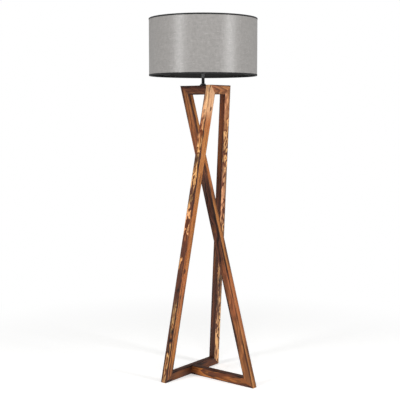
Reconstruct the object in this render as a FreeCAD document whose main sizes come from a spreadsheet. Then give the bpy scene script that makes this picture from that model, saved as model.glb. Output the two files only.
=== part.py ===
import FreeCAD, Part
import math
import os
import Sketcher

# Tripod floor lamp: two mitred timber frames that meet in a T at the floor and in a second T
# under the lampholder, with a drum shade on a ring carrier. Millimetres, +Z up.
# The origin is on the floor, on the axis of the lampholder and shade.
#
# Side frame: a trapezoid of base bar, left leg, right leg and top bar, which leans towards -Y.
# Prop frame: a Z in the plane x = 0, of base stem, front leg and top stem.

doc = FreeCAD.newDocument("tripod_floor_lamp")

# ---------------------------------------------------------------- driving dimensions

DIMENSIONS = {
    # timber stand
    "frame_height": 1210,
    "base_bar_length": 358,
    "top_bar_length": 132,
    "base_reach": 331,
    "frame_lean": 144,
    "top_setback": 45,
    "axis_setback": 66,
    "timber_width": 37,
    "timber_thickness": 27,
    "edge_radius": 2.5,
    "dowel_diameter": 8,
    "dowel_length": 32,
    "dowel_spacing": 17,
    "dowel_end_gap": 1,
    # threaded tube and its fittings
    "tube_diameter": 10,
    "tube_bore": 7,
    "tube_hole_gap": 0.25,
    "tube_entry": 7,
    "tube_tail": 1.5,
    "recess_diameter": 20,
    "recess_depth": 11,
    "washer_diameter": 18,
    "washer_thickness": 1.5,
    "nut_flats": 14,
    "nut_thickness": 4,
    "collar_diameter": 27,
    "collar_height": 7,
    "collar_flange": 3,
    "collar_neck_diameter": 21,
    "sleeve_diameter": 13,
    "fit_gap": 0.05,
    # lampholder
    "shade_lift": 38,
    "fitter_recess": 42,
    "shoulder_diameter": 46,
    "shoulder_thickness": 3,
    "skirt_diameter": 40,
    "skirt_wall": 2.5,
    "skirt_height": 30,
    "cap_height": 24,
    "cap_neck_diameter": 18,
    "core_drop": 7,
    "core_rise": 3,
    "core_ledge": 3,
    "contact_height": 2,
    "contact_thickness": 0.6,
    "contact_width": 6,
    "screw_shell_height": 22,
    "screw_shell_wall": 0.5,
    "terminal_diameter": 3,
    "terminal_length": 8,
    "terminal_depth": 5,
    "terminal_spacing": 18,
    # bulb
    "bulb_thread_diameter": 26.4,
    "bulb_cap_wall": 0.4,
    "bulb_cap_height": 22,
    "bulb_contact_diameter": 9.6,
    "bulb_contact_height": 1.5,
    "bulb_insulator_height": 3.5,
    "bulb_body_height": 35,
    "bulb_body_diameter": 48,
    "bulb_globe_diameter": 60,
    "bulb_globe_wall": 1.2,
    "led_board_diameter": 40,
    "led_board_thickness": 1.6,
    # shade
    "shade_diameter": 440,
    "shade_height": 230,
    "cover_thickness": 0.8,
    "liner_thickness": 1.2,
    "wire_diameter": 3,
    "trim_thickness": 0.6,
    "trim_height": 6,
    "trim_return": 3.2,
    "trim_gap": 0.05,
    "spider_ring_diameter": 56,
    "spider_ring_thickness": 1.5,
    "clamp_ring_diameter": 52,
    "clamp_ring_height": 6,
    "arm_diameter": 4,
    "arm_weld": 0.5,
}

ARM_COUNT = 3
CUT_MARGIN = 40

size = doc.addObject("Spreadsheet::Sheet", "Size")
for row, (alias, amount) in enumerate(DIMENSIONS.items(), start=1):
    size.set(f"A{row}", alias)
    size.set(f"B{row}", str(amount))
    size.setAlias(f"B{row}", alias)
doc.recompute()

# ---------------------------------------------------------------- derived places

LAYOUT = {
    # side frame: slope of its outer edges, and of the whole frame
    "side_slope": "(Size.base_bar_length - Size.top_bar_length) / 2 / Size.frame_height",
    "side_band": "Size.timber_width * sqrt(1 + side_slope ^ 2)",
    "side_mitre_low": "side_band + Size.timber_width * side_slope",
    "side_mitre_high": "side_band - Size.timber_width * side_slope",
    "lean_slope": "Size.frame_lean / Size.frame_height",
    "half_slab": "Size.timber_thickness / 2 * sqrt(1 + lean_slope ^ 2)",
    # prop frame: ends of the Z, and the slope of the front leg's edges
    "toe_y": "Size.axis_setback - Size.base_reach",
    "heel_y": "Size.axis_setback + Size.top_setback",
    "leg_span": "sqrt((heel_y - toe_y) ^ 2 + Size.frame_height ^ 2)",
    "prop_slope": "tan(atan((heel_y - toe_y) / Size.frame_height)"
                  " - asin(Size.timber_width / leg_span))",
    "prop_band": "Size.timber_width * sqrt(1 + prop_slope ^ 2)",
    "prop_mitre": "prop_band + Size.timber_width * prop_slope",
    # heights, upwards
    "upper_rail_z": "Size.frame_height - Size.timber_width",
    "seat_z": "upper_rail_z + Size.recess_depth",
    "tube_base_z": "seat_z - Size.washer_thickness - Size.nut_thickness - Size.tube_tail",
    "collar_top_z": "Size.frame_height + Size.collar_height",
    "shade_base_z": "Size.frame_height + Size.shade_lift",
    "shade_top_z": "shade_base_z + Size.shade_height",
    "shoulder_z": "shade_base_z + Size.fitter_recess",
    "joint_z": "shoulder_z - Size.shoulder_thickness",
    "cap_base_z": "joint_z - Size.cap_height",
    "tube_top_z": "cap_base_z + Size.tube_entry",
    "skirt_top_z": "shoulder_z + Size.skirt_height",
    "core_base_z": "joint_z - Size.core_drop",
    "core_top_z": "shoulder_z + Size.core_rise",
    "contact_top_z": "core_top_z + Size.contact_height",
    "shell_top_z": "core_top_z + Size.screw_shell_height",
    "spider_z": "shoulder_z + Size.fit_gap",
    "clamp_z": "spider_z + Size.spider_ring_thickness + Size.fit_gap",
    "bulb_z": "contact_top_z + Size.fit_gap",
    "bulb_cap_z": "bulb_z + Size.bulb_contact_height + Size.bulb_insulator_height",
    "bulb_body_z": "bulb_cap_z + Size.bulb_cap_height",
    "globe_base_z": "bulb_body_z + Size.bulb_body_height",
    "globe_centre_z": "globe_base_z + sqrt((Size.bulb_globe_diameter / 2) ^ 2"
                      " - (Size.bulb_body_diameter / 2) ^ 2)",
    # radii, outwards from the lamp axis
    "tube_r": "Size.tube_diameter / 2",
    "skirt_r": "Size.skirt_diameter / 2",
    "skirt_bore_r": "skirt_r - Size.skirt_wall",
    "thread_r": "Size.bulb_thread_diameter / 2",
    "cover_r": "Size.shade_diameter / 2 - Size.trim_thickness",
    "liner_r": "cover_r - Size.cover_thickness",
    "liner_bore_r": "liner_r - Size.liner_thickness",
    "wire_r": "liner_bore_r - Size.wire_diameter / 2 - Size.trim_gap",
    "trim_bore_r": "wire_r - Size.wire_diameter / 2 - Size.trim_gap - Size.trim_thickness",
    "wire_low_z": "shade_base_z + Size.trim_thickness + Size.wire_diameter / 2 + Size.trim_gap",
    "wire_high_z": "shade_top_z - Size.trim_thickness - Size.wire_diameter / 2 - Size.trim_gap",
    # shade arms: from under the spider ring's edge, out and down on to the lower wire ring
    "arm_start_r": "Size.spider_ring_diameter / 2 - Size.arm_weld",
    "arm_start_z": "spider_z + Size.spider_ring_thickness / 2",
    "arm_run": "wire_r - arm_start_r",
    "arm_drop": "arm_start_z - wire_low_z"
                " - (Size.wire_diameter + Size.arm_diameter) / 2 + Size.arm_weld / 2",
}

place = doc.addObject("App::VarSet", "Place")
for name, formula in LAYOUT.items():
    place.addProperty("App::PropertyFloat", name)
    place.setExpression(name, formula)
doc.recompute()


def number(formula):
    """The present value of a formula, as a plain number."""
    result = place.evalExpression(str(formula))
    return float(getattr(result, "Value", result))


# ---------------------------------------------------------------- modelling helpers

NODES = []


def new_body(label):
    """An empty PartDesign body that becomes the node called label."""
    body = doc.addObject("PartDesign::Body", label)
    body.Label = label
    NODES.append(body)
    return body


def origin_plane(body, role):
    """The body's own origin plane with this role."""
    return next(item for item in body.Origin.OriginFeatures if item.Role == role)


def add_loop(sketch, points):
    """Draw one closed loop whose corners are bound to formulas.

    A corner is (x, y), or (x, y, radius) where the edge that leaves it is an arc that turns left.
    """
    corners = [FreeCAD.Vector(number(point[0]), number(point[1]), 0) for point in points]
    first = sketch.GeometryCount
    count = len(points)
    for index, point in enumerate(points):
        start = corners[index]
        end = corners[(index + 1) % count]
        if len(point) == 2:
            sketch.addGeometry(Part.LineSegment(start, end))
            continue
        radius = number(point[2])
        chord = end - start
        across = FreeCAD.Vector(-chord.y, chord.x, 0).normalize()
        centre = (start + end) * 0.5 + across * math.sqrt(radius ** 2 - (chord.Length / 2) ** 2)
        circle = Part.Circle(centre, FreeCAD.Vector(0, 0, 1), radius)
        begin = math.atan2(start.y - centre.y, start.x - centre.x)
        finish = math.atan2(end.y - centre.y, end.x - centre.x)
        sketch.addGeometry(Part.ArcOfCircle(circle, begin, finish))
    for index, point in enumerate(points):
        this_edge = first + index
        next_edge = first + (index + 1) % count
        sketch.addConstraint(Sketcher.Constraint("Coincident", this_edge, 2, next_edge, 1))
        for kind, formula in (("DistanceX", point[0]), ("DistanceY", point[1])):
            value = number(formula)
            bound = sketch.addConstraint(Sketcher.Constraint(kind, -1, 1, this_edge, 1, value))
            sketch.setExpression(f"Constraints[{bound}]", str(formula))
        if len(point) == 3:
            radius = Sketcher.Constraint("Radius", this_edge, number(point[2]))
            bound = sketch.addConstraint(radius)
            sketch.setExpression(f"Constraints[{bound}]", str(point[2]))


def outline(body, role, *loops):
    """A sketch of closed loops on one of the body's origin planes."""
    sketch = body.newObject("Sketcher::SketchObject", f"{body.Name}_outline")
    sketch.AttachmentSupport = (origin_plane(body, role), [""])
    sketch.MapMode = "FlatFace"
    for points in loops:
        add_loop(sketch, points)
    return sketch


def turned(label, *points):
    """A node turned about the lamp axis from a half section of (radius, height) corners."""
    body = new_body(label)
    turning = body.newObject("PartDesign::Revolution", f"{label}_turning")
    turning.Profile = outline(body, "XZ_Plane", points)
    turning.ReferenceAxis = (turning.Profile[0], ["V_Axis"])
    turning.Angle = 360
    return body


def ring(label, inner, outer, low, high):
    """A plain ring about the lamp axis."""
    return turned(label, (inner, low), (outer, low), (outer, high), (inner, high))


def disc(label, radius, low, high):
    """A plain disc on the lamp axis."""
    return ring(label, "0", radius, low, high)


def drill(body, diameter, length, x, y, z, axis, angle):
    """Drill a blind bore into a body, from its closed end's centre along the turned Z axis."""
    bore = body.newObject("PartDesign::SubtractiveCylinder", f"{body.Name}_bore")
    bore.setExpression("Radius", f"({diameter}) / 2")
    bore.setExpression("Height", length)
    lay_along(bore, x, y, z, axis, angle)
    return bore


def lay_along(item, x, y, z, axis, angle):
    """Place an item at (x, y, z) with its own Z axis turned by angle about axis."""
    turn = FreeCAD.Rotation(FreeCAD.Vector(*axis), number(angle))
    item.Placement = FreeCAD.Placement(FreeCAD.Vector(0, 0, 0), turn)
    for component, formula in zip("xyz", (x, y, z)):
        item.setExpression(f"Placement.Base.{component}", str(formula))
    item.setExpression("Placement.Rotation.Angle", angle)


def group(label, items):
    """A node of several loose solids."""
    gathered = doc.addObject("Part::Compound", label)
    gathered.Label = label
    gathered.Links = items
    NODES.append(gathered)
    return gathered


def ease_edges(body, direction):
    """Round the long edges of a timber, which run along direction."""
    doc.recompute()
    blank = body.Tip
    along = FreeCAD.Vector(*direction).normalize()
    names = []
    for index, edge in enumerate(blank.Shape.Edges, start=1):
        run = edge.Vertexes[-1].Point - edge.Vertexes[0].Point
        long_enough = run.Length > number("Size.timber_width * 2")
        if long_enough and abs(run.normalize().dot(along)) > math.cos(math.radians(1)):
            names.append(f"Edge{index}")
    easing = body.newObject("PartDesign::Fillet", f"{body.Name}_easing")
    easing.Base = (blank, names)
    easing.setExpression("Radius", "Size.edge_radius")


# ---------------------------------------------------------------- dowels

# A mitre's dowel lies square to the mitre, in the middle of it.
# Each entry: middle (x, y, z), the axis that its direction is turned about, and the angle from +Z.

LOW_MITRE_X = "Size.base_bar_length / 2 - Place.side_mitre_low / 2"
HIGH_MITRE_X = "Size.top_bar_length / 2 - Place.side_mitre_high / 2"
LOW_MITRE_Z = "Size.timber_width / 2"
HIGH_MITRE_Z = "Size.frame_height - Size.timber_width / 2"


def slab_y(height):
    """The middle of the leaning side frame at a height."""
    return f"Size.axis_setback - Place.lean_slope * ({height})"


def side_dowel(side, x, z, angle):
    """A dowel in a mitre of the side frame; side is -1 at the left and 1 at the right."""
    return (f"{side} * ({x})", slab_y(z), z, (0, 1, 0), f"{side} * ({angle})")


LOW_ANGLE = "-atan(Place.side_mitre_low / Size.timber_width)"
HIGH_ANGLE = "atan(Place.side_mitre_high / Size.timber_width)"
PROP_ANGLE = "atan(Place.prop_mitre / Size.timber_width)"
PROP_X_AXIS = (1, 0, 0)

DOWELS = {
    "low_left": side_dowel(-1, LOW_MITRE_X, LOW_MITRE_Z, LOW_ANGLE),
    "low_right": side_dowel(1, LOW_MITRE_X, LOW_MITRE_Z, LOW_ANGLE),
    "high_left": side_dowel(-1, HIGH_MITRE_X, HIGH_MITRE_Z, HIGH_ANGLE),
    "high_right": side_dowel(1, HIGH_MITRE_X, HIGH_MITRE_Z, HIGH_ANGLE),
    "toe": ("0", "Place.toe_y + Place.prop_mitre / 2", LOW_MITRE_Z, PROP_X_AXIS, PROP_ANGLE),
    "heel": ("0", "Place.heel_y - Place.prop_mitre / 2", HIGH_MITRE_Z, PROP_X_AXIS, PROP_ANGLE),
}
for end, rail_z, face in (("low", LOW_MITRE_Z, -1), ("high", HIGH_MITRE_Z, 1)):
    for level, step in (("lower", -1), ("upper", 1)):
        height = f"{rail_z} + {step} * Size.dowel_spacing / 2"
        face_y = f"{slab_y(height)} + {face} * Place.half_slab"
        DOWELS[f"{end}_tee_{level}"] = ("0", face_y, height, PROP_X_AXIS, "90")


def dowel_start(name, reach):
    """Where the dowel's end, or its bore's end, lies: reach back from its middle."""
    x, y, z, axis, angle = DOWELS[name]
    back = f"({reach}) / 2"
    if axis == PROP_X_AXIS:
        return x, f"{y} + {back} * sin({angle})", f"{z} - {back} * cos({angle})", axis, angle
    return f"{x} - {back} * sin({angle})", y, f"{z} - {back} * cos({angle})", axis, angle


def dowel(name):
    """One dowel."""
    pin = doc.addObject("Part::Cylinder", f"dowel_{name}")
    pin.setExpression("Radius", "Size.dowel_diameter / 2")
    pin.setExpression("Height", "Size.dowel_length")
    lay_along(pin, *dowel_start(name, "Size.dowel_length"))
    return pin


def bore_for_dowels(body, *names):
    """Cut the bores of these dowels into a timber, with a little room round and beyond them."""
    reach = "Size.dowel_length + 2 * Size.dowel_end_gap"
    for name in names:
        drill(body, "Size.dowel_diameter + 2 * Size.fit_gap", reach, *dowel_start(name, reach))


# ---------------------------------------------------------------- side frame

def slab_edge(height, face):
    """A point on a face of the leaning side frame; face is -1 at the front, 1 at the back."""
    return f"{slab_y(height)} + {face} * Place.half_slab", str(height)


def side_timber(label, corners, direction):
    """A timber of the side frame: its outline in front view, trimmed to the leaning slab."""
    body = new_body(label)
    pad = body.newObject("PartDesign::Pad", f"{label}_blank")
    pad.Profile = outline(body, "XZ_Plane", corners)
    pad.Midplane = True
    pad.setExpression("Length", "4 * (Size.frame_lean + Size.axis_setback)")
    low = f"-{CUT_MARGIN}"
    high = f"Size.frame_height + {CUT_MARGIN}"
    far = "3 * (Size.frame_lean + Size.axis_setback)"
    front = [slab_edge(high, -1), slab_edge(low, -1), (f"-({far})", low), (f"-({far})", high)]
    back = [slab_edge(low, 1), slab_edge(high, 1), (far, high), (far, low)]
    trim = body.newObject("PartDesign::Pocket", f"{label}_planing")
    trim.Profile = outline(body, "YZ_Plane", front, back)
    trim.Midplane = True
    trim.setExpression("Length", "2 * Size.base_bar_length")
    ease_edges(body, direction)
    return body


def side_leg(label, side):
    """The left (side -1) or right (side 1) leg of the side frame."""
    corners = [
        (f"{side} * Size.base_bar_length / 2", "0"),
        (f"{side} * Size.top_bar_length / 2", "Size.frame_height"),
        (f"{side} * (Size.top_bar_length / 2 - Place.side_mitre_high)", "Place.upper_rail_z"),
        (f"{side} * (Size.base_bar_length / 2 - Place.side_mitre_low)", "Size.timber_width"),
    ]
    run = number(f"-{side} * Place.side_slope")
    body = side_timber(label, corners, (run, -number("Place.lean_slope"), 1))
    end = "left" if side < 0 else "right"
    bore_for_dowels(body, f"low_{end}", f"high_{end}")
    return body


base_bar = side_timber("base_bar", [
    ("-Size.base_bar_length / 2", "0"),
    ("Size.base_bar_length / 2", "0"),
    ("Size.base_bar_length / 2 - Place.side_mitre_low", "Size.timber_width"),
    ("Place.side_mitre_low - Size.base_bar_length / 2", "Size.timber_width"),
], (1, 0, 0))
bore_for_dowels(base_bar, "low_left", "low_right", "low_tee_lower", "low_tee_upper")

top_bar = side_timber("top_bar", [
    ("-Size.top_bar_length / 2", "Size.frame_height"),
    ("Size.top_bar_length / 2", "Size.frame_height"),
    ("Size.top_bar_length / 2 - Place.side_mitre_high", "Place.upper_rail_z"),
    ("Place.side_mitre_high - Size.top_bar_length / 2", "Place.upper_rail_z"),
], (1, 0, 0))
bore_for_dowels(top_bar, "high_left", "high_right", "high_tee_lower", "high_tee_upper")

side_leg("left_leg", -1)
side_leg("right_leg", 1)

# ---------------------------------------------------------------- prop frame

def prop_timber(label, corners, direction):
    """A timber of the prop frame, from its outline in side view."""
    body = new_body(label)
    pad = body.newObject("PartDesign::Pad", f"{label}_blank")
    pad.Profile = outline(body, "YZ_Plane", corners)
    pad.Midplane = True
    pad.setExpression("Length", "Size.timber_thickness")
    ease_edges(body, direction)
    return body


base_stem = prop_timber("base_stem", [
    ("Place.toe_y", "0"),
    slab_edge("0", -1),
    slab_edge("Size.timber_width", -1),
    ("Place.toe_y + Place.prop_mitre", "Size.timber_width"),
], (0, 1, 0))
bore_for_dowels(base_stem, "toe", "low_tee_lower", "low_tee_upper")

front_leg = prop_timber("front_leg", [
    ("Place.toe_y", "0"),
    ("Place.toe_y + Place.prop_mitre", "Size.timber_width"),
    ("Place.heel_y", "Size.frame_height"),
    ("Place.heel_y - Place.prop_mitre", "Place.upper_rail_z"),
], (0, number("Place.prop_slope"), 1))
bore_for_dowels(front_leg, "toe", "heel")

top_stem = prop_timber("top_stem", [
    ("Place.heel_y", "Size.frame_height"),
    ("Place.heel_y - Place.prop_mitre", "Place.upper_rail_z"),
    slab_edge("Place.upper_rail_z", 1),
    slab_edge("Size.frame_height", 1),
], (0, 1, 0))
bore_for_dowels(top_stem, "heel", "high_tee_lower", "high_tee_upper")
drill(top_stem, "Size.tube_diameter + 2 * Size.tube_hole_gap", "2 * Size.timber_width",
      "0", "0", "Place.upper_rail_z", (0, 0, 1), "0")
drill(top_stem, "Size.recess_diameter", "Size.recess_depth",
      "0", "0", "Place.upper_rail_z", (0, 0, 1), "0")

corner_names = ["low_left", "low_right", "high_left", "high_right", "toe", "heel"]
group("corner_dowels", [dowel(name) for name in corner_names])
group("tee_dowels", [dowel(name) for name in DOWELS if name not in corner_names])

# ---------------------------------------------------------------- tube and fittings

ring("threaded_tube", "Size.tube_bore / 2", "Place.tube_r", "Place.tube_base_z", "Place.tube_top_z")
ring("tube_washer", "Place.tube_r + Size.fit_gap", "Size.washer_diameter / 2",
     "Place.seat_z - Size.washer_thickness", "Place.seat_z")

nut_blank = doc.addObject("Part::Prism", "nut_blank")
nut_blank.Polygon = 6
nut_blank.setExpression("Circumradius", "Size.nut_flats / sqrt(3)")
nut_hole = doc.addObject("Part::Cylinder", "nut_hole")
nut_hole.setExpression("Radius", "Place.tube_r + Size.fit_gap")
for item in (nut_blank, nut_hole):
    item.setExpression("Height", "Size.nut_thickness")
    item.setExpression("Placement.Base.z",
                       "Place.seat_z - Size.washer_thickness - Size.nut_thickness")
tube_nut = doc.addObject("Part::Cut", "tube_nut")
tube_nut.Label = "tube_nut"
tube_nut.Base = nut_blank
tube_nut.Tool = nut_hole
NODES.append(tube_nut)

turned("base_collar",
       ("Place.tube_r + Size.fit_gap", "Size.frame_height"),
       ("Size.collar_diameter / 2", "Size.frame_height"),
       ("Size.collar_diameter / 2", "Size.frame_height + Size.collar_flange"),
       ("Size.collar_neck_diameter / 2", "Size.frame_height + Size.collar_flange"),
       ("Size.collar_neck_diameter / 2", "Place.collar_top_z"),
       ("Place.tube_r + Size.fit_gap", "Place.collar_top_z"))
ring("cover_sleeve", "Place.tube_r + Size.fit_gap", "Size.sleeve_diameter / 2",
     "Place.collar_top_z", "Place.cap_base_z")

# ---------------------------------------------------------------- lampholder

CORE_R = "Place.skirt_bore_r - Size.fit_gap"
TURN_Z = "Place.cap_base_z + Size.skirt_wall"

turned("lampholder_cap",
       ("Place.tube_r + Size.fit_gap", "Place.cap_base_z"),
       ("Size.cap_neck_diameter / 2", "Place.cap_base_z"),
       ("Size.cap_neck_diameter / 2", TURN_Z),
       ("Place.skirt_r", "Place.core_base_z - Size.skirt_wall"),
       ("Place.skirt_r", "Place.joint_z"),
       ("Place.skirt_bore_r", "Place.joint_z"),
       ("Place.skirt_bore_r", "Place.core_base_z"),
       ("Place.skirt_bore_r - Size.core_ledge", "Place.core_base_z"),
       ("Size.cap_neck_diameter / 2 - Size.skirt_wall / 2", "Place.tube_top_z"),
       ("Place.tube_r + Size.fit_gap", "Place.tube_top_z"))
turned("lampholder_body",
       ("Place.skirt_bore_r", "Place.joint_z"),
       ("Size.shoulder_diameter / 2", "Place.joint_z"),
       ("Size.shoulder_diameter / 2", "Place.shoulder_z"),
       ("Place.skirt_r", "Place.shoulder_z"),
       ("Place.skirt_r", "Place.skirt_top_z"),
       ("Place.skirt_bore_r", "Place.skirt_top_z"))

core = disc("lampholder_core", CORE_R, "Place.core_base_z", "Place.core_top_z")
screws = []
for side in (-1, 1):
    x = f"{side} * Size.terminal_spacing / 2"
    drill(core, "Size.terminal_diameter + 2 * Size.fit_gap", "Size.terminal_depth",
          x, "0", "Place.core_base_z", (0, 0, 1), "0")
    screw = doc.addObject("Part::Cylinder", "terminal_screw")
    screw.setExpression("Radius", "Size.terminal_diameter / 2")
    screw.setExpression("Height", "Size.terminal_length")
    screw.setExpression("Placement.Base.x", x)
    screw.setExpression("Placement.Base.z",
                        "Place.core_base_z + Size.terminal_depth - Size.terminal_length")
    screws.append(screw)
group("terminal_screws", screws)

ring("lampholder_screw_shell",
     "Place.thread_r + Size.fit_gap", "Place.thread_r + Size.fit_gap + Size.screw_shell_wall",
     "Place.core_top_z", "Place.shell_top_z")

contact = new_body("lampholder_contact")
spring = contact.newObject("PartDesign::Pad", "contact_spring")
tongue = "Size.bulb_contact_diameter / 2"
spring.Profile = outline(contact, "XZ_Plane", [
    (f"-2 * {tongue}", "Place.core_top_z"),
    (f"-{tongue}", "Place.core_top_z"),
    (f"-{tongue} / 2", "Place.contact_top_z - Size.contact_thickness"),
    (tongue, "Place.contact_top_z - Size.contact_thickness"),
    (tongue, "Place.contact_top_z"),
    (f"-{tongue} / 2 - Size.contact_thickness / 2", "Place.contact_top_z"),
    (f"-{tongue} - Size.contact_thickness / 2", "Place.core_top_z + Size.contact_thickness"),
    (f"-2 * {tongue}", "Place.core_top_z + Size.contact_thickness"),
])
spring.Midplane = True
spring.setExpression("Length", "Size.contact_width")

# ---------------------------------------------------------------- bulb

disc("bulb_contact", "Size.bulb_contact_diameter / 2",
     "Place.bulb_z", "Place.bulb_z + Size.bulb_contact_height")
turned("bulb_insulator",
       ("0", "Place.bulb_z + Size.bulb_contact_height"),
       ("Size.bulb_contact_diameter / 2", "Place.bulb_z + Size.bulb_contact_height"),
       ("Place.thread_r - 2 * Size.bulb_cap_wall", "Place.bulb_cap_z"),
       ("0", "Place.bulb_cap_z"))
ring("bulb_cap", "Place.thread_r - Size.bulb_cap_wall", "Place.thread_r",
     "Place.bulb_cap_z", "Place.bulb_body_z")
turned("bulb_body",
       ("0", "Place.bulb_cap_z"),
       ("Place.thread_r - Size.bulb_cap_wall", "Place.bulb_cap_z"),
       ("Place.thread_r - Size.bulb_cap_wall", "Place.bulb_body_z"),
       ("Place.thread_r + Size.bulb_cap_wall", "Place.bulb_body_z"),
       ("Size.bulb_body_diameter / 2", "Place.globe_base_z"),
       ("0", "Place.globe_base_z"))
disc("bulb_led_board", "Size.led_board_diameter / 2",
     "Place.globe_base_z", "Place.globe_base_z + Size.led_board_thickness")

globe_r = "Size.bulb_globe_diameter / 2"
inner_globe_r = f"({globe_r} - Size.bulb_globe_wall)"
globe = turned("bulb_globe",
               ("Size.bulb_body_diameter / 2", "Place.globe_base_z", globe_r),
               ("0", f"Place.globe_centre_z + {globe_r}"),
               ("0", "Place.globe_base_z"))
hollow = globe.newObject("PartDesign::Groove", "globe_hollow")
hollow.Profile = outline(globe, "XZ_Plane", [
    ("0", "Place.globe_base_z"),
    ("Size.bulb_body_diameter / 2 - 1.5 * Size.bulb_globe_wall", "Place.globe_base_z",
     inner_globe_r),
    ("0", f"Place.globe_centre_z + {inner_globe_r}"),
])
hollow.ReferenceAxis = (hollow.Profile[0], ["V_Axis"])
hollow.Angle = 360

# ---------------------------------------------------------------- shade

ring("shade_clamp_ring", "Place.skirt_r + Size.fit_gap", "Size.clamp_ring_diameter / 2",
     "Place.clamp_z", "Place.clamp_z + Size.clamp_ring_height")
ring("spider_ring", "Place.skirt_r + Size.fit_gap", "Size.spider_ring_diameter / 2",
     "Place.spider_z", "Place.spider_z + Size.spider_ring_thickness")

arms = new_body("spider_arms")
arm_section = arms.newObject("Sketcher::SketchObject", "arm_section")
arm_section.AttachmentSupport = (origin_plane(arms, "YZ_Plane"), [""])
arm_section.MapMode = "FlatFace"
arm_section.setExpression("AttachmentOffset.Base.z", "Place.arm_start_r")
arm_section.setExpression("AttachmentOffset.Base.y", "Place.arm_start_z")
arm_section.addGeometry(Part.Circle(FreeCAD.Vector(0, 0, 0), FreeCAD.Vector(0, 0, 1),
                                    number("Size.arm_diameter / 2")))
arm_section.addConstraint(Sketcher.Constraint("Coincident", 0, 3, -1, 1))
arm_section.addConstraint(Sketcher.Constraint("Diameter", 0, number("Size.arm_diameter")))
arm_section.setExpression("Constraints[1]", "Size.arm_diameter")
arm = arms.newObject("PartDesign::Pad", "arm")
arm.Profile = arm_section
arm.UseCustomVector = True
arm.Direction = FreeCAD.Vector(number("Place.arm_run"), 0, -number("Place.arm_drop"))
arm.setExpression("Direction.x", "Place.arm_run")
arm.setExpression("Direction.z", "-Place.arm_drop")
arm.AlongSketchNormal = True
arm.setExpression("Length", "Place.arm_run")
arm_set = arms.newObject("PartDesign::PolarPattern", "arm_set")
arm_set.Originals = [arm]
arm_set.Axis = (next(item for item in arms.Origin.OriginFeatures if item.Role == "Z_Axis"), [""])
arm_set.Angle = 360
arm_set.Occurrences = ARM_COUNT
arms.Tip = arm_set
arms.setExpression("Placement.Rotation.Angle", "90")

for label, height in (("bottom_wire_ring", "Place.wire_low_z"),
                      ("top_wire_ring", "Place.wire_high_z")):
    wire = doc.addObject("Part::Torus", label)
    wire.Label = label
    wire.setExpression("Radius1", "Place.wire_r")
    wire.setExpression("Radius2", "Size.wire_diameter / 2")
    wire.setExpression("Placement.Base.z", height)
    NODES.append(wire)

ring("shade_liner", "Place.liner_bore_r", "Place.liner_r",
     "Place.shade_base_z + Size.trim_thickness", "Place.shade_top_z - Size.trim_thickness")
ring("shade_cover", "Place.liner_r", "Place.cover_r",
     "Place.shade_base_z + Size.trim_thickness", "Place.shade_top_z - Size.trim_thickness")


def trim(label, edge, inward):
    """The binding folded over an edge of the drum; inward is 1 upwards, -1 downwards."""
    outer_end = f"{edge} + {inward} * Size.trim_height"
    inner_end = f"{edge} + {inward} * Size.trim_return"
    web = f"{edge} + {inward} * Size.trim_thickness"
    return turned(label,
                  ("Place.trim_bore_r", edge),
                  ("Size.shade_diameter / 2", edge),
                  ("Size.shade_diameter / 2", outer_end),
                  ("Place.cover_r", outer_end),
                  ("Place.cover_r", web),
                  ("Place.trim_bore_r + Size.trim_thickness", web),
                  ("Place.trim_bore_r + Size.trim_thickness", inner_end),
                  ("Place.trim_bore_r", inner_end))


trim("bottom_trim", "Place.shade_base_z", 1)
trim("top_trim", "Place.shade_top_z", -1)

# ---------------------------------------------------------------- checks and export

doc.recompute()

for item in doc.Objects:
    if "Invalid" in item.State or "Error" in item.State:
        raise RuntimeError(f"{item.Label} failed to compute: {item.State}")
for node in NODES:
    if node.Shape.isNull() or not node.Shape.isValid() or not node.Shape.Solids:
        raise RuntimeError(f"{node.Label} has no valid solid")

os.makedirs("parts", exist_ok=True)
for node in NODES:
    node.Shape.exportStep(os.path.join("parts", f"{node.Label}.step"))
    box = node.Shape.BoundBox
    print(f"{node.Label:24s} solids {len(node.Shape.Solids)}  volume {node.Shape.Volume:10.1f}"
          f"  z {box.ZMin:8.2f} {box.ZMax:8.2f}")
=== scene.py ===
"""Tripod floor lamp in torched pine with a grey linen drum shade: looks, light and camera.

Lengths are metres in the frame of the CAD model: the origin is on the floor, on the axis of
the lampholder, and +Z is up.
"""

import logging
import math
from dataclasses import dataclass
from enum import Enum
from typing import Callable, Sequence, Union

import bpy
from mathutils import Euler, Matrix, Vector

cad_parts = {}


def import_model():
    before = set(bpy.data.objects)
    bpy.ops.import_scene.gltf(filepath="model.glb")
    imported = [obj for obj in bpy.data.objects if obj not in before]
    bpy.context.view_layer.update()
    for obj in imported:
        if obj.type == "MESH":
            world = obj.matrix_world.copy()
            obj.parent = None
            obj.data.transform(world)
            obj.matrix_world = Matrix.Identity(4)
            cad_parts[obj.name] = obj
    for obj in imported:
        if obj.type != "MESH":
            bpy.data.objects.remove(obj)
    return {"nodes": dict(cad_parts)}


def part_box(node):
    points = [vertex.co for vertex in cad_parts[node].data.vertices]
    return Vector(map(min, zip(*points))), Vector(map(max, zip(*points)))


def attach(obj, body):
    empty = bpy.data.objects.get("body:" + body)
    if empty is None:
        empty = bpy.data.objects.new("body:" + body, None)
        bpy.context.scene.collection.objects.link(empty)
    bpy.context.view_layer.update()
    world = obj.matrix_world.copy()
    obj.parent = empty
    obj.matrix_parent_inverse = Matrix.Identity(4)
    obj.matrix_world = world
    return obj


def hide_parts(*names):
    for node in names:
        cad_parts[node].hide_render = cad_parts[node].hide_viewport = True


LOG = logging.getLogger("tripod_lamp")
MM = 0.001
TURN = 2 * math.pi

Colour = tuple[float, float, float]
Point = tuple[float, float, float]
Socket = bpy.types.NodeSocket
Material = bpy.types.Material
Piece = bpy.types.Object
Feed = Union[float, Sequence[float], Socket]
Stops = Sequence[tuple[float, Union[float, Colour]]]
Outline = list[tuple[float, float]]
Setting = Union[str, bool, int, float, Sequence[float]]


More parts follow.
